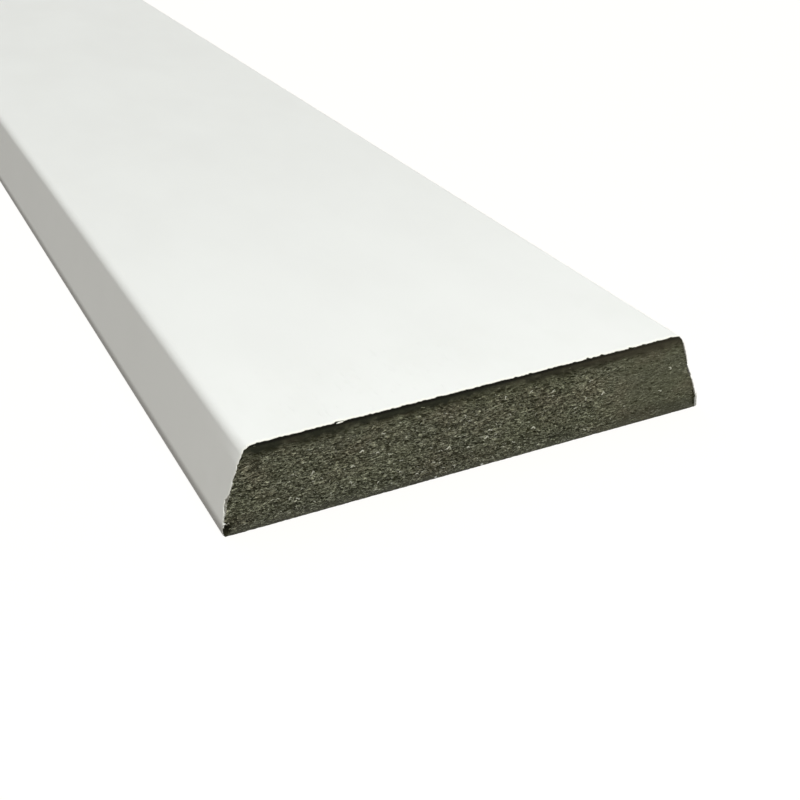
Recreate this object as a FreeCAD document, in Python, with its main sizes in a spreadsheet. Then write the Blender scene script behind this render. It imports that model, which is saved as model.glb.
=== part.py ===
# A length of flat architrave with both edges bevelled, sawn square at each end.
# X runs across the board, Y along it and Z up through its thickness, in millimetres.
# The origin is the middle of the back face, which lies on the floor or against the wall.
import FreeCAD, Part
import os
import Sketcher

PARTS_FOLDER = "parts"

# Driving sizes: alias, value in millimetres, what it is
SIZES = [
    ("board_width", 70.0, "across the section at its widest, just above the back face"),
    ("board_thickness", 12.0, "from the back face up to the flat front face"),
    ("board_length", 2440.0, "the stock length, from one sawn end to the other"),
    ("bevel_inset", 3.4, "how far each edge leans in on its way up to the front face"),
    ("lip_height", 1.4, "the upright strip left under each bevel"),
    ("arris_radius", 1.5, "rounding where each bevel turns into the front face"),
    ("lip_radius", 4.0, "soft turn from each bevel into its upright strip"),
    ("back_arris_radius", 0.3, "rounding of the edges of the back face"),
]

# A vertex nearer to a corner than this, in millimetres, lies on that corner
SAME_POINT = 0.001


def make_sheet(doc):
    """The spreadsheet of driving sizes, one to a row: its value, with an alias, and its meaning."""
    sheet = doc.addObject("Spreadsheet::Sheet", "Sizes")
    for row, (alias, value, meaning) in enumerate(SIZES, start=1):
        sheet.set(f"A{row}", str(value))
        sheet.setAlias(f"A{row}", alias)
        sheet.set(f"B{row}", meaning)
    doc.recompute()
    return sheet


def corner_places(sheet):
    """The sharp corners of the section as (x, z), in turn from the left end of the back face."""
    half = sheet.board_width / 2
    shoulder = half - sheet.bevel_inset
    return {
        "left_back": (-half, 0),
        "right_back": (half, 0),
        "right_lip": (half, sheet.lip_height),
        "right_shoulder": (shoulder, sheet.board_thickness),
        "left_shoulder": (-shoulder, sheet.board_thickness),
        "left_lip": (-half, sheet.lip_height),
    }


def draw_section(body, sheet):
    """The section with sharp corners: back face, two upright lips, two bevels and front face."""
    sketch = body.newObject("Sketcher::SketchObject", "Section")
    upright_plane = next(p for p in body.Origin.OriginFeatures if p.Role == "XZ_Plane")
    sketch.AttachmentSupport = [(upright_plane, "")]
    sketch.MapMode = "FlatFace"

    corners = [FreeCAD.Vector(x, z, 0) for x, z in corner_places(sheet).values()]
    following = corners[1:] + corners[:1]
    lines = [Part.LineSegment(*pair) for pair in zip(corners, following)]
    back, right_lip, right_bevel, front, left_bevel, left_lip = sketch.addGeometry(lines, False)

    # The sketcher's numbers for the two ends of a line, and for its level and upright axes
    start, end = 1, 2
    level_axis, upright_axis = -1, -2

    def constrain(*terms):
        return sketch.addConstraint(Sketcher.Constraint(*terms))

    sides = [back, right_lip, right_bevel, front, left_bevel, left_lip]
    for side, next_side in zip(sides, sides[1:] + sides[:1]):
        constrain("Coincident", side, end, next_side, start)

    # The back face lies on the level axis, and the left half mirrors the right half
    constrain("PointOnObject", back, start, level_axis)
    constrain("Vertical", right_lip)
    constrain("Symmetric", back, start, back, end, upright_axis)
    constrain("Symmetric", front, start, front, end, upright_axis)
    constrain("Symmetric", right_lip, end, left_lip, start, upright_axis)

    # Each dimension follows the cell of the same name
    dimensions = {
        "board_width": ("DistanceX", back, start, back, end),
        "lip_height": ("DistanceY", right_lip, start, right_lip, end),
        "bevel_inset": ("DistanceX", right_bevel, end, right_bevel, start),
        "board_thickness": ("DistanceY", back, end, front, start),
    }
    for alias, terms in dimensions.items():
        number = constrain(*terms, getattr(sheet, alias))
        sketch.renameConstraint(number, alias)
        sketch.setExpression(f"Constraints.{alias}", f"Sizes.{alias}")
    return sketch


def round_edges(body, name, previous, places, radius_alias):
    """Rounds the edges that run the board's length through the given (x, z) places."""
    names = [
        f"Edge{number}"
        for number, edge in enumerate(previous.Shape.Edges, start=1)
        for x, z in places
        if all(
            abs(vertex.X - x) < SAME_POINT and abs(vertex.Z - z) < SAME_POINT
            for vertex in edge.Vertexes
        )
    ]
    if len(names) != len(places):
        raise RuntimeError(f"{name} found {names} for {len(places)} edges")
    fillet = body.newObject("PartDesign::Fillet", name)
    fillet.Base = (previous, names)
    fillet.setExpression("Radius", f"Sizes.{radius_alias}")
    body.Document.recompute()
    return fillet


def make_architrave(doc, sheet):
    """One board: the section padded both ways along Y, then its long edges rounded."""
    body = doc.addObject("PartDesign::Body", "Architrave")
    body.Label = "architrave"
    sketch = draw_section(body, sheet)
    doc.recompute()

    board = body.newObject("PartDesign::Pad", "Board")
    board.Profile = sketch
    board.SideType = "Symmetric"
    board.setExpression("Length", "Sizes.board_length")
    sketch.Visibility = False
    doc.recompute()

    places = corner_places(sheet)
    shoulders = [places["left_shoulder"], places["right_shoulder"]]
    lips = [places["left_lip"], places["right_lip"]]
    backs = [places["left_back"], places["right_back"]]
    arrises = round_edges(body, "FaceArrises", board, shoulders, "arris_radius")
    turns = round_edges(body, "LipTurns", arrises, lips, "lip_radius")
    round_edges(body, "BackArrises", turns, backs, "back_arris_radius")
    return body


def check(doc, bodies):
    """Stops before anything is written if a feature failed or a solid isn't sound."""
    for item in doc.Objects:
        if "Invalid" in item.State or "Error" in item.State:
            raise RuntimeError(f"{item.Label} failed: {item.State}")
    for body in bodies:
        if body.Shape.isNull() or not body.Shape.isValid() or len(body.Shape.Solids) != 1:
            raise RuntimeError(f"{body.Label} isn't one sound solid")


def main():
    doc = FreeCAD.newDocument("Architrave")
    sheet = make_sheet(doc)
    bodies = [make_architrave(doc, sheet)]
    doc.recompute()
    check(doc, bodies)
    os.makedirs(PARTS_FOLDER, exist_ok=True)
    for body in bodies:
        body.Shape.exportStep(os.path.join(PARTS_FOLDER, f"{body.Label}.step"))
        box = body.Shape.BoundBox
        print(
            f"{body.Label}: {box.XLength:.2f} x {box.YLength:.2f} x {box.ZLength:.2f} mm,"
            f" {body.Shape.Volume / 1000:.1f} cm3, {len(body.Shape.Faces)} faces"
        )


main()
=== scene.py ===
from math import atan2, cos, hypot, pi, radians, sin

import bpy
from mathutils import Matrix, Vector, noise


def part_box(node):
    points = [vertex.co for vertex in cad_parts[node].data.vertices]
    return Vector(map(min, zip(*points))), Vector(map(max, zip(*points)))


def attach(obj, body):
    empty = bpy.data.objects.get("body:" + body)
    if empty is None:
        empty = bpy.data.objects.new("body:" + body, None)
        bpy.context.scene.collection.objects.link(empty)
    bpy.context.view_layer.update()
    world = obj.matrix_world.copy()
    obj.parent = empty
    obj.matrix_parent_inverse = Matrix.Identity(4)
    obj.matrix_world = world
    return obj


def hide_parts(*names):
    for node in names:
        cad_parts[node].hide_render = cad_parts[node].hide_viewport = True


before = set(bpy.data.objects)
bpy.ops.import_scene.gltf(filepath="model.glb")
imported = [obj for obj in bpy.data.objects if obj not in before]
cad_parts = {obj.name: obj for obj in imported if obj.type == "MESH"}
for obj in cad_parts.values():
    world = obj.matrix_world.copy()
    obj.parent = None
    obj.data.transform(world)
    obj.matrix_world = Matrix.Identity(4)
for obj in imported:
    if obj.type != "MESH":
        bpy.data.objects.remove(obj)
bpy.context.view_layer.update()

# The board: one length of moisture-resistant fibreboard, bevelled by a cutter along both edges
# and sawn off square at its ends. The saw tears the loose middle of the board into curls of
# fibre and cuts the dense skins behind the front and back faces clean.
mm = 0.001
low_corner, high_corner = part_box("architrave")
half_width = high_corner[0]
half_length = high_corner[1]
thickness = high_corner[2]
bevel_inset = 3.4 * mm
lip_height = 1.4 * mm
arris_radius = 1.5 * mm
lip_radius = 4.0 * mm
back_arris_radius = 0.3 * mm
coat_thickness = 0.1 * mm
cell_across = 0.2 * mm
cell_up = 0.09 * mm
fibre_room = 0.12 * mm
curl_size = 0.28 * mm
curl_stretch = 2.2
drift_size = 2.2 * curl_size
thread_size = 0.6 * curl_size
curl_seed = 3
tear_depth = 0.38 * mm
front_skin = 1.7 * mm
back_skin = 1.1 * mm
skin_wave = 1.6 * mm
coarse_crest = 0.44 * mm
fine_crest = 0.27 * mm
fuzz_size = 0.19 * mm
relief_height = 0.26 * mm


def arc(centre, radius, first_turn, last_turn, steps=24):
    """Points of a round, from one angle to the other, as (x, z)."""
    turns = [first_turn + (last_turn - first_turn) * step / steps for step in range(steps + 1)]
    return [(centre[0] + radius * cos(turn), centre[1] + radius * sin(turn)) for turn in turns]


def right_edge(depth):
    """The right edge's three rounds, from the back face up to the front face, depth below the skin."""
    lean = atan2(bevel_inset, thickness - lip_height)
    lip_centre_x = half_width - lip_radius
    lip_centre_z = lip_height - (lip_radius - lip_radius * cos(lean)) / sin(lean)
    arris_centre_z = thickness - arris_radius
    rise = (arris_centre_z - lip_height) * sin(lean)
    arris_centre_x = half_width - (arris_radius + rise) / cos(lean)
    back_round = back_arris_radius - depth
    return [
        arc((half_width - back_arris_radius, back_round), back_round, -pi / 2, 0, 6),
        arc((lip_centre_x, lip_centre_z), lip_radius - depth, 0, lean, 6),
        arc((arris_centre_x, arris_centre_z), arris_radius - depth, lean, pi / 2, 24),
    ]


def spread(points, count):
    """The same line as count + 1 points, evenly spaced along it."""
    steps = [hypot(b[0] - a[0], b[1] - a[1]) for a, b in zip(points, points[1:])]
    spacing = sum(steps) / count
    spaced, walked, number = [points[0]], 0.0, 0
    for place in range(1, count):
        while walked + steps[number] < place * spacing:
            walked += steps[number]
            number += 1
        share = (place * spacing - walked) / steps[number]
        a, b = points[number], points[number + 1]
        spaced.append((a[0] + (b[0] - a[0]) * share, a[1] + (b[1] - a[1]) * share))
    return spaced + [points[-1]]


def end_grid():
    """The sawn end as rows of (x, z), each from left to right, bent to fit the bare section."""
    back_round, lip_turn, arris = right_edge(coat_thickness)
    middle = len(arris) // 2
    right = back_round + lip_turn + arris[: middle + 1]
    top = [(-x, z) for x, z in arris[middle:]] + arris[middle:][::-1]
    columns = round(2 * half_width / cell_across)
    rows = round(thickness / cell_up)
    right = spread(right, rows)
    top = spread(top, columns)
    corner_x, corner_z = right[-1]
    grid = []
    for row, (side_x, side_z) in enumerate(right):
        up = row / rows
        line = []
        for column, (top_x, top_z) in enumerate(top):
            sideways = 2 * column / columns - 1
            x = side_x * sideways + up * (top_x - corner_x * sideways)
            z = side_z + up * (top_z - corner_z)
            line.append((x, z))
        grid.append(line)
    return grid


def ramp(value, start, finish):
    """Goes smoothly from 0 at start to 1 at finish."""
    share = min(max((value - start) / (finish - start), 0.0), 1.0)
    return share * share * (3 - 2 * share)


# Where the front end is broken away: x, z, reach and depth
front_breaks = [
    (-34.3 * mm, 4.6 * mm, 1.0 * mm, 0.35 * mm),
    (-34.75 * mm, 0.9 * mm, 0.95 * mm, 1.5 * mm),
    (33.25 * mm, 6.8 * mm, 0.35 * mm, 1.0 * mm),
    (33.4 * mm, 6.3 * mm, 0.35 * mm, 1.2 * mm),
    (33.55 * mm, 5.8 * mm, 0.35 * mm, 1.2 * mm),
    (33.75 * mm, 5.3 * mm, 0.3 * mm, 1.0 * mm),
    (34.4 * mm, 2.4 * mm, 0.26 * mm, 0.25 * mm),
    (34.5 * mm, 1.9 * mm, 0.28 * mm, 0.3 * mm),
    (34.55 * mm, 1.4 * mm, 0.3 * mm, 0.3 * mm),
    (34.6 * mm, 0.9 * mm, 0.3 * mm, 0.3 * mm),
    (34.6 * mm, 0.5 * mm, 0.28 * mm, 0.3 * mm),
]


def torn_depth(x, z, seed, breaks):
    """How far the torn surface lies behind the plane of the cut."""
    place = Vector((x / curl_stretch, z, seed))
    drift = noise.noise_vector(place / drift_size) * curl_size
    curls = abs(noise.noise((place + drift) / curl_size))
    threads = abs(noise.noise((place - drift) / thread_size))
    loose = ramp(thickness - z, 0.5 * front_skin, front_skin)
    loose = min(loose, 0.1 + 0.9 * ramp(z, 0.2 * back_skin, 1.3 * back_skin))
    loose = (0.16 + 0.84 * loose) * (1 - 0.45 * ramp(x, 0.3 * half_width, 0.9 * half_width))
    depth = fibre_room + tear_depth * loose * (1.3 * curls + 1.0 * threads)
    for break_x, break_z, reach, deep in breaks:
        near = 1 - ramp(hypot(x - break_x, z - break_z), 0.4 * reach, reach)
        depth += deep * near
    return depth


# Where the front end's left arris is rubbed down: middle, reach, how far and which way, and how
# far along the board it fades out
worn_x, worn_z = -31.9 * mm, 11.75 * mm
worn_reach = 2.5 * mm
worn_down = 0.32 * mm
worn_way_x, worn_way_z = 0.59, -0.81
worn_along = 5.0 * mm


def board_mesh():
    """Two sawn ends, joined all round by the long faces."""
    noise.seed_set(curl_seed)
    grid = end_grid()
    rows, columns = len(grid), len(grid[0])
    points, recess = [], []
    for direction, seed, breaks in ((-1, 0.0, front_breaks), (1, 0.5, [])):
        at_front = direction < 0
        for line in grid:
            for x, z in line:
                depth = torn_depth(x, z, seed, breaks)
                if at_front:
                    rubbed = worn_down * (1 - ramp(hypot(x - worn_x, z - worn_z), 0, worn_reach))
                    x, z = x + worn_way_x * rubbed, z + worn_way_z * rubbed
                points.append((x, direction * (half_length - depth), z))
                recess.append((depth - fibre_room) / tear_depth)
    far = rows * columns
    faces = []
    for row in range(rows - 1):
        for column in range(columns - 1):
            corner = row * columns + column
            faces.append((corner, corner + 1, corner + columns + 1, corner + columns))
            faces.append(tuple(far + number for number in reversed(faces[-1])))
    bottom = list(range(columns))
    right = [row * columns + columns - 1 for row in range(rows)]
    top = list(range(rows * columns - 1, (rows - 1) * columns - 1, -1))
    left = [row * columns for row in range(rows - 1, -1, -1)]
    loop = bottom[:-1] + right[:-1] + top[:-1] + left[:-1]
    for here, following in zip(loop, loop[1:] + loop[:1]):
        faces.append((following, here, far + here, far + following))
    mesh = bpy.data.meshes.new("fibreboard")
    mesh.from_pydata(points, [], faces)
    mesh.attributes.new("recess", "FLOAT", "POINT").data.foreach_set("value", recess)
    mesh.shade_smooth()
    mesh.set_sharp_from_angle(angle=radians(70))
    mesh.validate()
    return mesh


def placed(name, data):
    """A new object, put in the scene."""
    item = bpy.data.objects.new(name, data)
    bpy.context.scene.collection.objects.link(item)
    return item


def add(tree, kind, inputs=(), **settings):
    """Adds a node with its settings, and sets or links its inputs by name or number."""
    node = tree.nodes.new(kind)
    for key, value in settings.items():
        setattr(node, key, value)
    for key, value in dict(inputs).items():
        if isinstance(value, bpy.types.NodeSocket):
            tree.links.new(value, node.inputs[key])
        else:
            node.inputs[key].default_value = value
    return node


def value_of(tree, operation, *terms):
    """A math node on numbers or sockets, giving its result."""
    return add(tree, "ShaderNodeMath", dict(enumerate(terms)), operation=operation).outputs[0]


def times(tree, *factors):
    """The product of numbers or sockets."""
    product = factors[0]
    for factor in factors[1:]:
        product = value_of(tree, "MULTIPLY", product, factor)
    return product


def joined(tree, x, y, z):
    """Three numbers or sockets as one vector."""
    return add(tree, "ShaderNodeCombineXYZ", {"X": x, "Y": y, "Z": z}).outputs[0]


def split(tree, vector):
    """The X, Y and Z of a vector."""
    return add(tree, "ShaderNodeSeparateXYZ", {0: vector}).outputs


def ranged(tree, value, start, finish, low=0.0, high=1.0, kind="SMOOTHSTEP"):
    """Maps a value from start..finish to low..high, smoothly unless the kind is LINEAR."""
    inputs = {"Value": value, "From Min": start, "From Max": finish, "To Min": low, "To Max": high}
    return add(tree, "ShaderNodeMapRange", inputs, interpolation_type=kind).outputs["Result"]


def mask_group(name, socket_names):
    """A shader node group that makes a mask from named numbers, and its given and result sockets."""
    group = bpy.data.node_groups.new(name, "ShaderNodeTree")
    for socket_name in socket_names:
        group.interface.new_socket(socket_name, in_out="INPUT", socket_type="NodeSocketFloat")
    group.interface.new_socket("Mask", in_out="OUTPUT", socket_type="NodeSocketFloat")
    given = group.nodes.new("NodeGroupInput").outputs
    result = group.nodes.new("NodeGroupOutput").inputs
    return group, given, result


def drawn_out_noise(group, given, **looks):
    """Noise by a group's own size and seed, drawn out along X by its stretch."""
    place = add(group, "ShaderNodeTexCoord").outputs["Object"]
    squeeze = joined(group, value_of(group, "DIVIDE", 1.0, given["Stretch"]), 1.0, 1.0)
    place = add(group, "ShaderNodeVectorMath", {0: place, 1: squeeze}, operation="MULTIPLY")
    scale = value_of(group, "DIVIDE", 1.0, given["Size"])
    inputs = {"Vector": place.outputs[0], "W": given["Seed"], "Scale": scale, **looks}
    return add(group, "ShaderNodeTexNoise", inputs, noise_dimensions="4D").outputs["Fac"]


def mottle_group():
    """Patches that come and go over a surface: a mask from 0 to 1, by size, share and softness."""
    sockets = ["Size", "Stretch", "Share", "Softness", "Seed"]
    group, given, result = mask_group("Mottle", sockets)
    cloud = drawn_out_noise(group, given, Detail=3.0, Roughness=0.55)
    edge = value_of(group, "SUBTRACT", 1.0, given["Share"])
    half = times(group, given["Softness"], 0.5)
    start = value_of(group, "SUBTRACT", edge, half)
    finish = value_of(group, "ADD", edge, half)
    group.links.new(ranged(group, cloud, start, finish), result["Mask"])
    return group


mottle = mottle_group()


def mottled(tree, size, stretch, share, softness, seed):
    """Places the mottle group in a material, and gives its mask."""
    values = {"Size": size, "Stretch": stretch, "Share": share, "Softness": softness, "Seed": seed}
    return add(tree, "ShaderNodeGroup", values, node_tree=mottle).outputs["Mask"]


def crest_group():
    """Fine crests that wander over a surface: a mask that is 1 along each of them."""
    group, given, result = mask_group("Crests", ["Size", "Stretch", "Width", "Seed"])
    cloud = drawn_out_noise(group, given, Detail=1.0, Roughness=0.5, Distortion=0.6)
    off_crest = value_of(group, "ABSOLUTE", value_of(group, "SUBTRACT", cloud, 0.5))
    group.links.new(ranged(group, off_crest, given["Width"], 0.0), result["Mask"])
    return group


crests = crest_group()


def crested(tree, size, stretch, width, seed):
    """Places the crests group in a material, and gives its mask."""
    values = {"Size": size, "Stretch": stretch, "Width": width, "Seed": seed}
    return add(tree, "ShaderNodeGroup", values, node_tree=crests).outputs["Mask"]


def plain_noise(tree, place, size, detail=2.0, roughness=0.5):
    """Noise from 0 to 1 with features of one size."""
    inputs = {"Vector": place, "Scale": 1 / size, "Detail": detail, "Roughness": roughness}
    return add(tree, "ShaderNodeTexNoise", inputs).outputs[0]


def mixed(tree, factor, first, second, blend="MIX"):
    """The mix of two colours; a colour is a socket or three numbers."""
    node = add(tree, "ShaderNodeMix", {"Factor": factor}, data_type="RGBA", blend_type=blend)
    for socket, colour in ((node.inputs[6], first), (node.inputs[7], second)):
        if isinstance(colour, bpy.types.NodeSocket):
            tree.links.new(colour, socket)
        else:
            socket.default_value = (*colour, 1.0)
    return node.outputs[2]


def new_material(name, roughness, specular):
    """A material with its tree and its Principled shader, to which the looks are linked."""
    material = bpy.data.materials.new(name)
    material.use_nodes = True
    shader = material.node_tree.nodes["Principled BSDF"]
    shader.inputs["Roughness"].default_value = roughness
    shader.inputs["Specular IOR Level"].default_value = specular
    return material, material.node_tree, shader


def lean_in(tree, height):
    """How far a long side leans in at a height."""
    above_lip = value_of(tree, "MAXIMUM", value_of(tree, "SUBTRACT", height, lip_height), 0.0)
    return times(tree, above_lip, bevel_inset / (thickness - lip_height))


def open_fibre_mask(tree, across, level):
    """Where the saw opened the fibre: all but the front skin, less at the right and in patches."""
    skin_foot, skin_top = thickness - 1.8 * front_skin, thickness - 0.6 * front_skin
    below_skin = ranged(tree, level, skin_foot, skin_top, 1.0, 0.2)
    left = ranged(tree, across, 0.35 * half_width, 0.75 * half_width, 1.0, 0.2)
    patches = value_of(tree, "MULTIPLY_ADD", mottled(tree, 5 * mm, 2.0, 0.55, 0.25, 27.0), 0.2, 0.8)
    return times(tree, below_skin, left, patches)


def crest_light_and_tone(tree, across, height, crest, open_fibre):
    """How light the fibre is: painted highlight on its crests and painted shade between them, and
    dimmer at the right and at the foot.
    """
    # Painted light: the crests lit bright and the gaps between them shaded
    shade = ranged(tree, crest, 0.0, 0.9, 0.46, 3.7)
    shade = value_of(tree, "MULTIPLY_ADD", value_of(tree, "SUBTRACT", shade, 1.0), open_fibre, 1.0)
    at_right = ranged(tree, across, 0.45 * half_width, 0.78 * half_width, 1.0, 0.58)
    at_foot = ranged(tree, height, 0.5 * back_skin, 3.2 * back_skin, 0.58, 1.0)
    return times(tree, shade, at_right, at_foot)


def fibre_colour(tree, coarse, fine, crest, open_fibre, shade):
    """Olive fibre, greyer and redder in patches, times the painted crest light, with a paler painted
    highlight on its crests and a few painted glints.
    """
    olive, grey, red = (0.255, 0.263, 0.164), (0.247, 0.252, 0.172), (0.262, 0.242, 0.161)
    painted_crest_highlight, pale = (0.8, 0.82, 0.74), (0.8, 0.8, 0.72)
    colour = mixed(tree, mottled(tree, 7 * mm, 1.8, 0.5, 0.3, 1.0), olive, grey)
    colour = mixed(tree, mottled(tree, 5 * mm, 1.6, 0.42, 0.3, 5.0), colour, red)
    colour = mixed(tree, 1.0, colour, shade, "MULTIPLY")
    # Painted highlight: the crests paler and greyer
    colour = mixed(tree, times(tree, crest, open_fibre, 0.3), colour, painted_crest_highlight)
    # Painted glints where both sets of crests meet in lit patches
    lit = mottled(tree, 0.4 * mm, 1.2, 0.48, 0.08, 9.0)
    painted_glint = times(tree, value_of(tree, "POWER", coarse, 2.0), value_of(tree, "POWER", fine, 1.5), lit)
    return mixed(tree, times(tree, painted_glint, open_fibre, 0.95), colour, pale)


def back_skin_mask(tree, across, height, waver):
    """Where the skin behind the back face shows, less at the right."""
    above_back = value_of(tree, "MULTIPLY_ADD", waver, 0.7, height)
    near_back = ranged(tree, above_back, back_skin, 0.1 * back_skin, 0.0, 0.9)
    left = ranged(tree, across, -0.4 * half_width, 0.5 * half_width, 0.9, 0.5)
    return times(tree, near_back, left)


def front_skin_mask(tree, across, level):
    """Where the close skin behind the front face shows, deeper towards both sides, in blotches."""
    on_right = ranged(tree, across, -0.15 * half_width, 0.5 * half_width, 0.0, 0.03 * front_skin)
    on_left = ranged(tree, across, -0.55 * half_width, -0.8 * half_width, 0.0, 0.1 * front_skin)
    level = value_of(tree, "ADD", level, value_of(tree, "ADD", on_right, on_left))
    near_front = ranged(tree, level, thickness - 1.47 * front_skin, thickness - 0.4 * front_skin)
    blotch = value_of(tree, "MULTIPLY_ADD", mottled(tree, 1.5 * mm, 2.2, 0.4, 0.2, 17.0), -0.2, 1.0)
    return times(tree, near_front, blotch)


def front_skin_colour(tree, across):
    """Nearly black, browner at the right and in patches."""
    skin, brown_skin = (0.032, 0.034, 0.022), (0.058, 0.053, 0.035)
    colour = mixed(tree, ranged(tree, across, -0.1 * half_width, 0.7 * half_width), skin, brown_skin)
    return mixed(tree, mottled(tree, 2.2 * mm, 2.5, 0.4, 0.2, 14.0), colour, brown_skin)


def coat_shadow_line_mask(tree, across, height):
    """Painted shadow: the dark line right under the coat's edge, weaker at the right."""
    under_coat = ranged(tree, height, thickness - 0.42 * front_skin, thickness - 0.2 * front_skin)
    left = ranged(tree, across, 0.2 * half_width, 0.9 * half_width, 0.95, 0.5)
    return times(tree, under_coat, left)


def planed_side_mask(tree, across, height):
    """The long sides right behind the coat, but not the sawn ends."""
    to_side = value_of(tree, "ADD", value_of(tree, "ABSOLUTE", across), lean_in(tree, height))
    inner, outer = half_width - 1.3 * coat_thickness, half_width - 1.05 * coat_thickness
    on_side = ranged(tree, to_side, inner, outer)
    normal = add(tree, "ShaderNodeNewGeometry").outputs["True Normal"]
    faces_end = value_of(tree, "ABSOLUTE", split(tree, normal)["Y"])
    return times(tree, on_side, ranged(tree, faces_end, 0.3, 0.05))


def fibre_bump(tree, place, coarse, fine, open_fibre):
    """Relief finer than the mesh of the ends: the crests, with fuzz over them."""
    fuzz = plain_noise(tree, place, fuzz_size, 2.0, 0.6)
    relief = value_of(tree, "MULTIPLY_ADD", fine, 0.5, coarse)
    relief = value_of(tree, "MULTIPLY_ADD", fuzz, 0.6, relief)
    relief = times(tree, relief, open_fibre)
    inputs = {"Strength": 1.0, "Distance": relief_height, "Height": relief}
    return add(tree, "ShaderNodeBump", inputs).outputs[0]


def fibreboard_material():
    """Olive fibre, close and dark behind the front face, and pale where the sides were planed; with
    painted highlight on its crests, painted shade between them and in its hollows, and a painted shadow
    line under the coat.
    """
    material, tree, shader = new_material("bare_fibreboard", 0.85, 0.1)
    back_brown, painted_edge_shadow, painted_pit_shade = (0.11, 0.108, 0.085), (0.008, 0.008, 0.006), (0.04, 0.04, 0.018)
    planed_dark, planed_pale = (0.34, 0.335, 0.29), (0.72, 0.71, 0.63)
    place = add(tree, "ShaderNodeTexCoord").outputs["Object"]
    parts = split(tree, place)
    across, height = parts["X"], parts["Z"]
    coarse = crested(tree, coarse_crest, 2.4, 0.07, 2.0)
    fine = crested(tree, fine_crest, 2.5, 0.08, 7.0)
    crest = value_of(tree, "MULTIPLY_ADD", coarse, 0.6, times(tree, fine, 0.4))
    waver = plain_noise(tree, place, skin_wave, 3.0, 0.6)
    waver = ranged(tree, waver, 0.3, 0.7, -0.2 * front_skin, 0.32 * front_skin)
    level = value_of(tree, "ADD", height, waver)
    open_fibre = open_fibre_mask(tree, across, level)
    shade = crest_light_and_tone(tree, across, height, crest, open_fibre)
    colour = fibre_colour(tree, coarse, fine, crest, open_fibre, shade)
    colour = mixed(tree, back_skin_mask(tree, across, height, waver), colour, back_brown)
    near_front = front_skin_mask(tree, across, level)
    colour = mixed(tree, near_front, colour, front_skin_colour(tree, across))
    # Painted shadow under the coat's edge
    colour = mixed(tree, coat_shadow_line_mask(tree, across, height), colour, painted_edge_shadow)
    # Painted shade: the deeper the torn fibre lies, the darker
    recess = add(tree, "ShaderNodeAttribute", attribute_name="recess").outputs["Fac"]
    colour = mixed(tree, ranged(tree, recess, 0.15, 0.9, 0.0, 0.88), colour, painted_pit_shade)
    planed = mixed(tree, shade, planed_dark, planed_pale)
    colour = mixed(tree, planed_side_mask(tree, across, height), colour, planed)
    tree.links.new(colour, shader.inputs["Base Color"])
    tree.links.new(fibre_bump(tree, place, coarse, fine, open_fibre), shader.inputs["Normal"])
    return material


fibreboard = placed("fibreboard", board_mesh())
fibreboard.data.materials.append(fibreboard_material())
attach(fibreboard, "root")
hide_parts("architrave")

# Loose fibres: curls of wood fibre that the saw pulled up and left lying on both sawn ends, thick
# in the loose middle of the board and sparse in its dense skins.
fibre_density = 4.0e6
fibre_shortest = 0.2 * mm
fibre_longest = 0.6 * mm
fibre_stoutness = 0.1
fibre_tilt = 0.3
fibre_steepest = pi / 3
tuft_shade = 0.97
fibre_bends = [
    ((-0.25, 0.35, 0.05), (0.25, 0.3, 0.08)),
    ((-0.2, 0.4, 0.0), (0.2, -0.4, 0.1)),
    ((-0.3, -0.1, 0.1), (0.5, 0.5, 0.0)),
]


def geometry_tree(name, sockets):
    """A geometry tree with its named inputs, and its given and result sockets."""
    tree = bpy.data.node_groups.new(name, "GeometryNodeTree")
    tree.interface.new_socket("Geometry", in_out="INPUT", socket_type="NodeSocketGeometry")
    for socket_name, socket_kind in sockets:
        tree.interface.new_socket(socket_name, in_out="INPUT", socket_type=socket_kind)
    tree.interface.new_socket("Geometry", in_out="OUTPUT", socket_type="NodeSocketGeometry")
    given = tree.nodes.new("NodeGroupInput").outputs
    result = tree.nodes.new("NodeGroupOutput").inputs
    return tree, given, result


def random_value(tree, low, high, seed, kind="FLOAT"):
    """A random number or whole number for each point."""
    low_socket, high_socket, result = {"FLOAT": (2, 3, 1), "INT": (4, 5, 2)}[kind]
    inputs = {low_socket: low, high_socket: high, "Seed": seed}
    return add(tree, "FunctionNodeRandomValue", inputs, data_type=kind).outputs[result]


def stored(tree, geometry, name, value):
    """Keeps a number on each point of a geometry, under a name."""
    inputs = {"Geometry": geometry, "Name": name, "Value": value}
    node = add(tree, "GeometryNodeStoreNamedAttribute", inputs, data_type="FLOAT", domain="POINT")
    return node.outputs[0]


def moved(tree, geometry, position):
    """Moves each point of a geometry to its new position."""
    inputs = {"Geometry": geometry, "Position": position}
    return add(tree, "GeometryNodeSetPosition", inputs).outputs[0]


def strand_density(tree, parts, most):
    """Strands to a square metre, sparse towards both faces and at the right."""
    foot, top = thickness - 1.7 * front_skin, thickness - front_skin
    below_front = ranged(tree, parts["Z"], top, foot, 0.02, 1.0, "LINEAR")
    above_back = ranged(tree, parts["Z"], 0.5 * back_skin, back_skin, 0.25, 1.0, "LINEAR")
    left = ranged(tree, parts["X"], 0.35 * half_width, 0.75 * half_width, 1.0, 0.1, "LINEAR")
    return times(tree, below_front, above_back, left, most)


def strand_kinds(tree):
    """The kinds of strand, each a bent tube of about unit length, as instances to pick from."""
    strands = add(tree, "GeometryNodeGeometryToInstance")
    tube = add(tree, "GeometryNodeCurvePrimitiveCircle", {"Resolution": 3, "Radius": fibre_stoutness})
    for first_bend, second_bend in fibre_bends:
        line = add(
            tree,
            "GeometryNodeCurvePrimitiveBezierSegment",
            {
                "Resolution": 4,
                "Start": (-0.5, 0.0, 0.0),
                "Start Handle": first_bend,
                "End Handle": second_bend,
                "End": (0.5, 0.0, 0.0),
            },
        )
        strand = add(
            tree,
            "GeometryNodeCurveToMesh",
            {"Curve": line.outputs[0], "Profile Curve": tube.outputs["Curve"], "Fill Caps": True},
        )
        tree.links.new(strand.outputs[0], strands.inputs[0])
    return strands.outputs[0]


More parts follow.
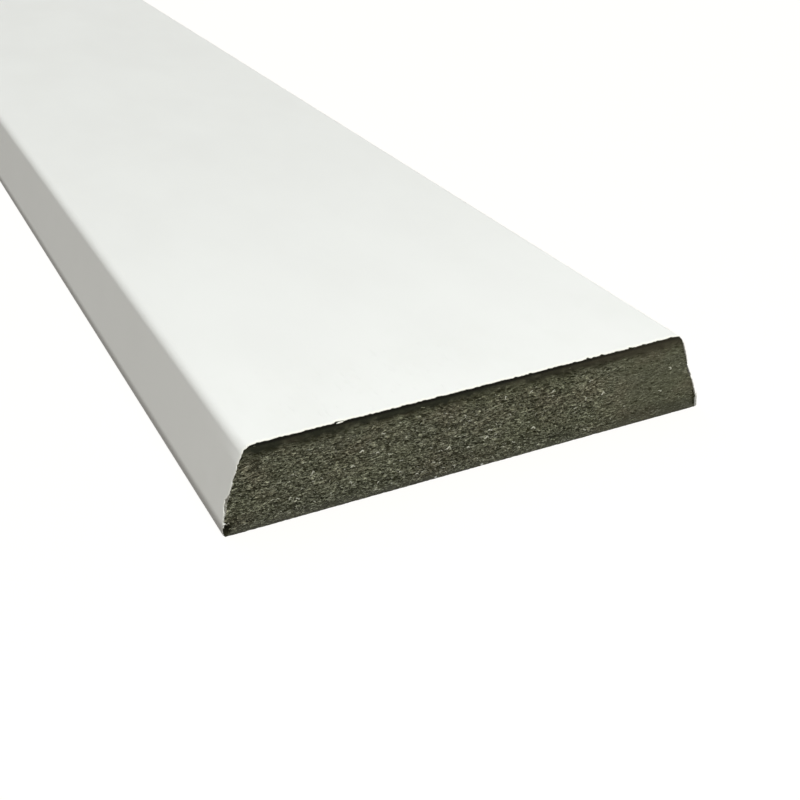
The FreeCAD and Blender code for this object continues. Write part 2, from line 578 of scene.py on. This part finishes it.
def strand_turn(tree, end):
    """Lays a strand against its end, more or less level, with a few that lean steeply."""
    stand = times(tree, end, -pi / 2)
    stand = value_of(tree, "ADD", stand, random_value(tree, -fibre_tilt, fibre_tilt, 21))
    lean = value_of(tree, "POWER", random_value(tree, 0.0, 1.0, 22), 2.5)
    up_or_down = times(tree, random_value(tree, 0, 1, 23, "INT"), 2.0)
    up_or_down = value_of(tree, "SUBTRACT", up_or_down, 1.0)
    return joined(tree, stand, times(tree, lean, fibre_steepest, up_or_down), 0.0)


def strand_size(tree, given):
    """A strand's length and stoutness: most are short, and the palest few make stout tufts."""
    shade = add(tree, "GeometryNodeInputNamedAttribute", {"Name": "shade"}).outputs[0]
    tuft = ranged(tree, shade, tuft_shade, tuft_shade + 0.005)
    share = value_of(tree, "POWER", random_value(tree, 0.0, 1.0, 26), 2.2)
    share = value_of(tree, "MAXIMUM", share, times(tree, tuft, 0.12))
    room = value_of(tree, "SUBTRACT", given["Longest"], given["Shortest"])
    length = value_of(tree, "ADD", given["Shortest"], times(tree, share, room))
    stoutness = times(tree, length, value_of(tree, "MULTIPLY_ADD", tuft, 1.25, 1.0))
    return joined(tree, length, stoutness, stoutness)


def kept_inside(tree, parts, end, farthest):
    """Each point's place, held behind the plane of the cut and inside the coat and the back face."""
    cut = value_of(tree, "MINIMUM", value_of(tree, "ABSOLUTE", parts["Y"]), farthest)
    height = value_of(tree, "MINIMUM", parts["Z"], thickness - 2 * coat_thickness)
    height = value_of(tree, "MAXIMUM", height, 0.2 * coat_thickness)
    widest = value_of(tree, "SUBTRACT", half_width - 1.2 * coat_thickness, lean_in(tree, height))
    side = value_of(tree, "MINIMUM", value_of(tree, "ABSOLUTE", parts["X"]), widest)
    side = times(tree, side, value_of(tree, "SIGN", parts["X"]))
    return joined(tree, side, times(tree, cut, end), height)


def fibre_tree(material):
    """Bent strands scattered over the two sawn ends and cut flush with them."""
    sockets = [
        ("Density", "NodeSocketFloat"),
        ("Shortest", "NodeSocketFloat"),
        ("Longest", "NodeSocketFloat"),
        ("Half Length", "NodeSocketFloat"),
        ("Seed", "NodeSocketInt"),
    ]
    tree, given, result = geometry_tree("loose_fibres", sockets)
    parts = split(tree, add(tree, "GeometryNodeInputPosition").outputs[0])
    far_out = value_of(tree, "ABSOLUTE", parts["Y"])
    far_out = add(
        tree, "GeometryNodeFieldOnDomain", {0: far_out}, data_type="FLOAT", domain="FACE"
    ).outputs[0]
    on_end = value_of(tree, "GREATER_THAN", far_out, 0.9 * half_length)
    density = strand_density(tree, parts, given["Density"])
    scatter = add(
        tree,
        "GeometryNodeDistributePointsOnFaces",
        {"Mesh": given["Geometry"], "Selection": on_end, "Density": density, "Seed": given["Seed"]},
    )
    points = stored(tree, scatter.outputs["Points"], "shade", random_value(tree, 0.0, 1.0, 11))
    end = value_of(tree, "SIGN", parts["Y"])
    laid = add(
        tree,
        "GeometryNodeInstanceOnPoints",
        {
            "Points": points,
            "Instance": strand_kinds(tree),
            "Pick Instance": True,
            "Instance Index": random_value(tree, 0, len(fibre_bends) - 1, 25, "INT"),
            "Rotation": strand_turn(tree, end),
            "Scale": strand_size(tree, given),
        },
    )
    laid = add(tree, "GeometryNodeRealizeInstances", {0: laid.outputs[0]})
    laid = moved(tree, laid.outputs[0], kept_inside(tree, parts, end, given["Half Length"]))
    laid = add(tree, "GeometryNodeSetMaterial", {0: laid, "Material": material})
    tree.links.new(laid.outputs[0], result["Geometry"])
    return tree


def grow(name, start_mesh, tree, values):
    """Runs a geometry tree with the named values on a mesh, and returns the finished plain mesh."""
    holder = placed(name, start_mesh)
    modifier = holder.modifiers.new(name, "NODES")
    modifier.node_group = tree
    for item in tree.interface.items_tree:
        if item.in_out == "INPUT" and item.name in values:
            modifier[item.identifier] = values[item.name]
    evaluated = holder.evaluated_get(bpy.context.evaluated_depsgraph_get())
    mesh = bpy.data.meshes.new_from_object(evaluated)
    mesh.name = name
    bpy.data.objects.remove(holder)
    return mesh


def fibre_material():
    """The board's own fibre, each strand lighter or darker, a few pale as bleached fibre and painted
    glints.
    """
    material, tree, shader = new_material("loose_fibre", 0.7, 0.15)
    dark, light = (0.17, 0.176, 0.11), (0.45, 0.46, 0.33)
    red, bleached_and_glint = (0.28, 0.26, 0.18), (0.78, 0.78, 0.66)
    shade = add(tree, "ShaderNodeAttribute", attribute_name="shade").outputs["Fac"]
    colour = mixed(tree, shade, dark, light)
    colour = mixed(tree, mottled(tree, 5 * mm, 1.6, 0.42, 0.3, 5.0), colour, red)
    # Pale strands: bleached fibre and painted glints
    colour = mixed(tree, ranged(tree, shade, 0.88, 0.98), colour, bleached_and_glint)
    tree.links.new(colour, shader.inputs["Base Color"])
    return material


fibre_values = {
    "Density": fibre_density,
    "Shortest": fibre_shortest,
    "Longest": fibre_longest,
    "Half Length": half_length,
    "Seed": 3,
}
fibre_mesh = grow("loose_fibres", fibreboard.data, fibre_tree(fibre_material()), fibre_values)
loose_fibres = placed("loose_fibres", fibre_mesh)
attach(loose_fibres, "root")

# The coat: a smooth white factory finish over the front face, both bevels and the lips under
# them, about a tenth of a millimetre thick. The saw leaves its edge ragged at each end, with a
# nick for each tooth and the paint torn away from the corners.
coat_foot = 0.04 * mm
coat_rows = 25
coat_column = 0.1 * mm
row_bunching = 5.0
jag_size = 0.6 * mm
jag_depth = 0.24 * mm
tooth_spacing = 2.2 * mm
tooth_width = 0.8 * mm
tooth_depth = 0.34 * mm
ends_apart = 14.0
chip_hold = 0.2 * mm
chip_pull = 3.0 * mm
peel_size = mm / 0.7
rim_width = 0.6 * mm
rim_fade = 1.5 * mm
# Heights on the lips between which painted shade from the floor darkens the coat
lip_shade_starts, lip_shade_full = 2.2 * mm, 0.9 * mm

# How far from the front cut the scuffs and the dents are full, and where they are gone; and
# where the dents come up from nothing on their left and on their right
scuffs_full, scuffs_gone = 9 * mm, 26 * mm
dents_full, dents_gone = 15 * mm, 22 * mm
dents_left, dents_right = (-29 * mm, -20 * mm), (12 * mm, -2 * mm)

# Where the coat is torn off at the front end: how far round the section from the bottom of the
# left lip, reach to each side and depth
coat_chips = [
    (0.5 * mm, 1.0 * mm, 0.45 * mm),
    (2.4 * mm, 1.0 * mm, 0.4 * mm),
    (4.1 * mm, 1.5 * mm, 1.2 * mm),
    (5.8 * mm, 1.5 * mm, 0.55 * mm),
    (7.8 * mm, 1.4 * mm, 0.35 * mm),
    (24.8 * mm, 0.8 * mm, 0.26 * mm),
    (75.6 * mm, 1.0 * mm, 0.25 * mm),
    (80.5 * mm, 1.6 * mm, 0.3 * mm),
]


def section_curve():
    """The coated outline, from the bottom of the left lip over the front face to the right one."""
    back_round, lip_turn, arris = right_edge(0.0)
    right = [point for point in back_round + lip_turn + arris if point[1] > coat_foot]
    outline = [(-x, z) for x, z in right] + right[::-1]
    curve = bpy.data.curves.new("section", "CURVE")
    curve.dimensions = "3D"
    spline = curve.splines.new("POLY")
    spline.points.add(len(outline) - 1)
    for point, (x, z) in zip(spline.points, outline):
        point.co = (x, 0.0, z, 1.0)
    round_trip = sum(hypot(b[0] - a[0], b[1] - a[1]) for a, b in zip(outline, outline[1:]))
    return placed("section", curve), round_trip


def torn_away(tree, given, walked, end, front):
    """How far the coat's edge is torn back: jags, a nick for each tooth, and chips at the front."""
    # The two ends read the noise far apart, so that they differ
    line = joined(tree, walked, times(tree, end, ends_apart / 2), 0.0)
    jag = plain_noise(tree, line, jag_size, 3.0, 0.6)
    jag = ranged(tree, jag, 0.42, 0.75, 0.0, given["Jag Depth"], "LINEAR")
    phase = value_of(tree, "FRACT", value_of(tree, "DIVIDE", walked, given["Tooth Spacing"]))
    off_tooth = value_of(tree, "ABSOLUTE", value_of(tree, "SUBTRACT", phase, 0.5))
    off_tooth = times(tree, off_tooth, given["Tooth Spacing"])
    tooth = ranged(tree, off_tooth, 0.5 * tooth_width, 0.0, 0.0, given["Tooth Depth"])
    bite = ranged(tree, plain_noise(tree, line, tooth_spacing / 0.7), 0.35, 0.65)
    right = ranged(tree, walked, 0.9 * half_width, 1.7 * half_width, 0.5, 1.0)
    lost = value_of(tree, "ADD", jag, times(tree, tooth, bite, right))
    for chip_place, chip_reach, chip_depth in coat_chips:
        away = value_of(tree, "ABSOLUTE", value_of(tree, "SUBTRACT", walked, chip_place))
        chip = ranged(tree, away, chip_reach, 0.2 * chip_reach, 0.0, chip_depth)
        lost = value_of(tree, "ADD", lost, times(tree, chip, front))
    return lost


def rubbed_down(tree, on_section, inward, front):
    """Where the section's points go, with the left arris worn near the front cut, as X and Z."""
    worn_place = Vector((worn_x, 0.0, worn_z))
    away = add(tree, "ShaderNodeVectorMath", {0: on_section, 1: worn_place}, operation="DISTANCE")
    rubbed = ranged(tree, away.outputs["Value"], worn_reach, 0.0, 0.0, worn_down)
    rubbed = times(tree, rubbed, ranged(tree, inward, worn_along, 0.0), front)
    parts = split(tree, on_section)
    across = value_of(tree, "MULTIPLY_ADD", rubbed, worn_way_x, parts["X"])
    height = value_of(tree, "MULTIPLY_ADD", rubbed, worn_way_z, parts["Z"])
    return across, height


def coat_tree(material):
    """A flat grid wrapped round the section and drawn out to the board's length, ends ragged."""
    sockets = [
        ("Section", "NodeSocketObject"),
        ("Columns", "NodeSocketInt"),
        ("Rows", "NodeSocketInt"),
        ("Half Length", "NodeSocketFloat"),
        ("Jag Depth", "NodeSocketFloat"),
        ("Tooth Spacing", "NodeSocketFloat"),
        ("Tooth Depth", "NodeSocketFloat"),
    ]
    tree, given, result = geometry_tree("coat", sockets)
    grid = add(
        tree,
        "GeometryNodeMeshGrid",
        {"Size X": 1.0, "Size Y": 2.0, "Vertices X": given["Columns"], "Vertices Y": given["Rows"]},
    )
    parts = split(tree, add(tree, "GeometryNodeInputPosition").outputs[0])
    share = value_of(tree, "ADD", parts["X"], 0.5)
    end = value_of(tree, "SIGN", parts["Y"])
    front = value_of(tree, "LESS_THAN", end, 0.0)
    from_cut = value_of(tree, "SUBTRACT", 1.0, value_of(tree, "ABSOLUTE", parts["Y"]))
    from_cut = value_of(tree, "POWER", from_cut, row_bunching)
    from_cut = times(tree, from_cut, given["Half Length"])

    section = add(tree, "GeometryNodeObjectInfo", {"Object": given["Section"]}).outputs["Geometry"]
    round_trip = add(tree, "GeometryNodeCurveLength", {0: section}).outputs[0]
    walked = times(tree, share, round_trip)
    sample = add(tree, "GeometryNodeSampleCurve", {"Curves": section, "Factor": share}, mode="FACTOR")

    lost = torn_away(tree, given, walked, end, front)
    pull = ranged(tree, from_cut, chip_hold, chip_pull, 1.0, 0.0, "LINEAR")
    inward = value_of(tree, "ADD", from_cut, times(tree, lost, pull))
    reach = times(tree, end, value_of(tree, "SUBTRACT", given["Half Length"], inward))
    across, height = rubbed_down(tree, sample.outputs["Position"], inward, front)
    shell = stored(tree, grid.outputs[0], "from_edge", from_cut)
    shell = moved(tree, shell, joined(tree, across, reach, height))
    shell = add(tree, "GeometryNodeRealizeInstances", {0: shell})
    shell = add(tree, "GeometryNodeSetMaterial", {0: shell.outputs[0], "Material": material})
    tree.links.new(shell.outputs[0], result["Geometry"])
    return tree


def coat_material():
    """Satin white, faintly clouded, scuffed near the front cut, with a light orange-peel surface; a
    paler cream rim with painted highlight along the cut edge, and painted shade darkening the lips
    towards the floor.
    """
    material, tree, shader = new_material("white_coat", 0.62, 0.2)
    white, cloud, scuffed = (0.842, 0.852, 0.84), (0.818, 0.826, 0.814), (0.8, 0.81, 0.79)
    dented, rim_cream_highlight, black = (0.77, 0.78, 0.765), (0.98, 0.98, 0.9), (0.0, 0.0, 0.0)
    place = add(tree, "ShaderNodeTexCoord").outputs["Object"]
    parts = split(tree, place)
    across, along, up = parts["X"], parts["Y"], parts["Z"]
    colour = mixed(tree, mottled(tree, 30 * mm, 0.5, 0.5, 0.5, 3.0), white, cloud)
    near_cut = ranged(tree, along, scuffs_gone - half_length, scuffs_full - half_length)
    scuffs = times(tree, mottled(tree, 9 * mm, 0.5, 0.46, 0.2, 21.0), near_cut)
    colour = mixed(tree, times(tree, scuffs, 0.35), colour, scuffed)
    band = times(
        tree,
        ranged(tree, along, dents_gone - half_length, dents_full - half_length),
        ranged(tree, across, *dents_right),
        ranged(tree, across, *dents_left),
    )
    dents = times(tree, mottled(tree, 3 * mm, 0.3, 0.37, 0.1, 33.0), band)
    colour = mixed(tree, times(tree, dents, 0.2), colour, dented)
    from_edge = add(tree, "ShaderNodeAttribute", attribute_name="from_edge").outputs["Fac"]
    # A paler cream rim along the cut edge, partly painted highlight
    rim = ranged(tree, from_edge, rim_width, 0.0, 0.0, 0.9)
    rim = times(tree, rim, ranged(tree, up, thickness - rim_fade, thickness, 0.5, 1.0))
    colour = mixed(tree, rim, colour, rim_cream_highlight)
    # Painted shade: the lips darken towards the floor
    colour = mixed(tree, ranged(tree, up, lip_shade_starts, lip_shade_full, 0.0, 0.34), colour, black)
    tree.links.new(colour, shader.inputs["Base Color"])
    peel = plain_noise(tree, place, peel_size)
    bump = add(tree, "ShaderNodeBump", {"Strength": 0.15, "Distance": 0.02 * mm, "Height": peel})
    bump = add(
        tree,
        "ShaderNodeBump",
        {"Strength": 1.0, "Distance": -0.03 * mm, "Height": dents, "Normal": bump.outputs[0]},
    )
    raised = mixed(tree, times(tree, rim, 0.16), bump.outputs[0], (0.0, 0.0, 1.0))
    tree.links.new(raised, shader.inputs["Normal"])
    return material


white_coat = coat_material()
section, section_length = section_curve()
coat_values = {
    "Section": section,
    "Columns": round(section_length / coat_column) + 1,
    "Rows": coat_rows,
    "Half Length": half_length,
    "Jag Depth": jag_depth,
    "Tooth Spacing": tooth_spacing,
    "Tooth Depth": tooth_depth,
}
coat_mesh = grow("coat", bpy.data.meshes.new("coat_blank"), coat_tree(white_coat), coat_values)
bpy.data.objects.remove(section)
coat = placed("coat", coat_mesh)
film = coat.modifiers.new("film", "SOLIDIFY")
film.thickness = coat_thickness
film.offset = -1.0
film.use_even_offset = True
coat_mesh.shade_smooth()
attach(coat, "root")
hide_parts("architrave")

# Crumbs of the coat: flakes of paint that the saw left clinging to the front end, one of them on
# its upper edge and a sliver at the foot of its right edge.
crumb_inset = 0.14 * mm
crumb_clearance = 0.02 * mm

# Each crumb's x, z and half size
crumbs = [
    (-18.9 * mm, 11.8 * mm, (0.5 * mm, 0.1 * mm, 0.12 * mm)),
    (-6.1 * mm, 0.2 * mm, (0.16 * mm, 0.08 * mm, 0.14 * mm)),
    (0.7 * mm, 0.2 * mm, (0.2 * mm, 0.08 * mm, 0.14 * mm)),
    (34.9 * mm, 1.1 * mm, (0.16 * mm, 0.14 * mm, 1.2 * mm)),
    (-34.72 * mm, 1.85 * mm, (0.2 * mm, 0.1 * mm, 0.14 * mm)),
]


def crumb_points():
    """The crumbs as loose points at the cut, each with its size."""
    mesh = bpy.data.meshes.new("crumb_points")
    mesh.from_pydata([(x, crumb_inset - half_length, z) for x, z, size in crumbs], [], [])
    sizes = [number for x, z, size in crumbs for number in size]
    mesh.attributes.new("size", "FLOAT_VECTOR", "POINT").data.foreach_set("vector", sizes)
    return mesh


def crumb_tree(material):
    """A dented flake on every point, kept inside the board's box."""
    tree, given, result = geometry_tree("coat_crumbs", [])
    flake = add(tree, "GeometryNodeMeshIcoSphere", {"Radius": 1.0, "Subdivisions": 3})
    dent = add(tree, "ShaderNodeTexNoise", {"Scale": 1.1, "Detail": 1.0})
    dent = value_of(tree, "MULTIPLY_ADD", dent.outputs[0], 1.6, 0.1)
    place = add(tree, "GeometryNodeInputPosition").outputs[0]
    bent = add(tree, "ShaderNodeVectorMath", {0: place, 1: dent}, operation="MULTIPLY")
    points = add(tree, "GeometryNodeMeshToPoints", {"Mesh": given["Geometry"]})
    size = add(tree, "GeometryNodeInputNamedAttribute", {"Name": "size"}, data_type="FLOAT_VECTOR")
    laid = add(
        tree,
        "GeometryNodeInstanceOnPoints",
        {
            "Points": points.outputs[0],
            "Instance": moved(tree, flake.outputs[0], bent.outputs[0]),
            "Scale": size.outputs[0],
        },
    )
    laid = add(tree, "GeometryNodeRealizeInstances", {0: laid.outputs[0]})
    high = Vector((half_width, half_length, thickness)) - Vector((1, 1, 1)) * crumb_clearance
    low = Vector((-high.x, -high.y, crumb_clearance))
    kept = add(tree, "ShaderNodeVectorMath", {0: place, 1: high}, operation="MINIMUM")
    kept = add(tree, "ShaderNodeVectorMath", {0: kept.outputs[0], 1: low}, operation="MAXIMUM")
    laid = moved(tree, laid.outputs[0], kept.outputs[0])
    laid = add(tree, "GeometryNodeSetMaterial", {0: laid, "Material": material})
    tree.links.new(laid.outputs[0], result["Geometry"])
    return tree


crumb_mesh = grow("coat_crumbs", crumb_points(), crumb_tree(white_coat), {})
coat_crumbs = placed("coat_crumbs", crumb_mesh)
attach(coat_crumbs, "root")

# The floor: a plain pale sheet that the board lies on. The camera and reflections see it white
# where it is lit, and it keeps the board's shadow.
floor_reach = 12.0
floor_drop = 0.02 * mm
corner_ways = ((-1, -1), (1, -1), (1, 1), (-1, 1))


def seen_directly(tree):
    """1 for rays from the camera, a reflection or clear glass, and 0 for the rays that light things."""
    ray = add(tree, "ShaderNodeLightPath").outputs
    seen = value_of(tree, "MAXIMUM", ray["Is Camera Ray"], ray["Is Glossy Ray"])
    return value_of(tree, "MAXIMUM", seen, ray["Is Transmission Ray"])


def floor_material():
    """Matt and pale, with a glow that only rays looking straight at it see."""
    material, tree, shader = new_material("pale_floor", 0.9, 0.0)
    lit_colour, glow_colour = (0.126, 0.104, 0.076, 1.0), (1.0, 1.0, 1.0, 1.0)
    shader.inputs["Base Color"].default_value = lit_colour
    shader.inputs["Emission Color"].default_value = glow_colour
    place = add(tree, "ShaderNodeTexCoord").outputs["Object"]
    far_off = add(tree, "ShaderNodeVectorMath", {0: place}, operation="LENGTH").outputs["Value"]
    glow = times(tree, seen_directly(tree), ranged(tree, far_off, 1.5, 5.0, 0.92, 1.0))
    tree.links.new(glow, shader.inputs["Emission Strength"])
    return material


floor_mesh = bpy.data.meshes.new("floor")
floor_corners = [(x * floor_reach, y * floor_reach, -floor_drop) for x, y in corner_ways]
floor_mesh.from_pydata(floor_corners, [], [(0, 1, 2, 3)])
floor_mesh.materials.append(floor_material())
floor = placed("floor", floor_mesh)

# Light and camera: a wide soft lamp over the whole length, even light from all round, a small lamp
# above the sawn end, a dim one low at its left and another low at the board's right, and the
# camera just above the floor in front.
ambient = 0.235
white_light, cool_light, warm_light = (1.0, 1.0, 1.0), (0.97, 1.0, 1.0), (1.0, 0.94, 0.82)


def studio_world():
    """Warm dim light all round, behind which the camera sees plain white."""
    world = bpy.data.worlds.new("studio")
    world.use_nodes = True
    tree = world.node_tree
    seen = seen_directly(tree)
    tint = mixed(tree, seen, warm_light, white_light)
    strength = value_of(tree, "MULTIPLY_ADD", seen, 1 - ambient, ambient)
    tree.links.new(tint, tree.nodes["Background"].inputs["Color"])
    tree.links.new(strength, tree.nodes["Background"].inputs["Strength"])
    return world


def soft_lamp(name, size, watts, colour, place, turn=(0.0, 0.0, 0.0)):
    """A rectangular lamp that the camera doesn't see, by its size across and along."""
    light = bpy.data.lights.new(name, "AREA")
    light.shape = "RECTANGLE"
    light.size, light.size_y = size
    light.energy = watts
    light.color = colour
    lamp = placed(name, light)
    lamp.location = place
    lamp.rotation_euler = turn
    lamp.visible_camera = False


bpy.context.scene.world = studio_world()
soft_lamp("overhead_lamp", (1.0, 5.0), 57.4, cool_light, (-0.21, -0.4, 2.4))
soft_lamp("end_lamp", (0.08, 0.08), 0.343, cool_light, (0.033, -half_length - 0.2, 0.22))
low_left, turned_to_end = (-0.206, -half_length - 0.3, 0.08), (radians(82), 0.0, radians(-20))
soft_lamp("front_lamp", (0.3, 0.3), 0.43, white_light, low_left, turned_to_end)
low_right, turned_to_side = (0.6, -half_length + 0.12, 0.12), (0.0, radians(80), 0.0)
soft_lamp("side_lamp", (0.3, 0.3), 0.5, white_light, low_right, turned_to_side)

camera_data = bpy.data.cameras.new("camera")
camera_data.sensor_width = 36.0
camera_data.lens = 57.93
camera_data.clip_start = 0.01
camera = placed("camera", camera_data)
camera_place = Vector((-68.3 * mm, -1348.2 * mm, 88.2 * mm))
turn_right, look_down, roll = radians(24.15), radians(28.195), radians(-2.17)
camera_turn = Matrix.Rotation(-turn_right, 4, "Z") @ Matrix.Rotation(pi / 2 - look_down, 4, "X")
camera.matrix_world = Matrix.Translation(camera_place) @ camera_turn @ Matrix.Rotation(roll, 4, "Z")
bpy.context.scene.camera = camera
bpy.context.scene.view_settings.view_transform = "Standard"
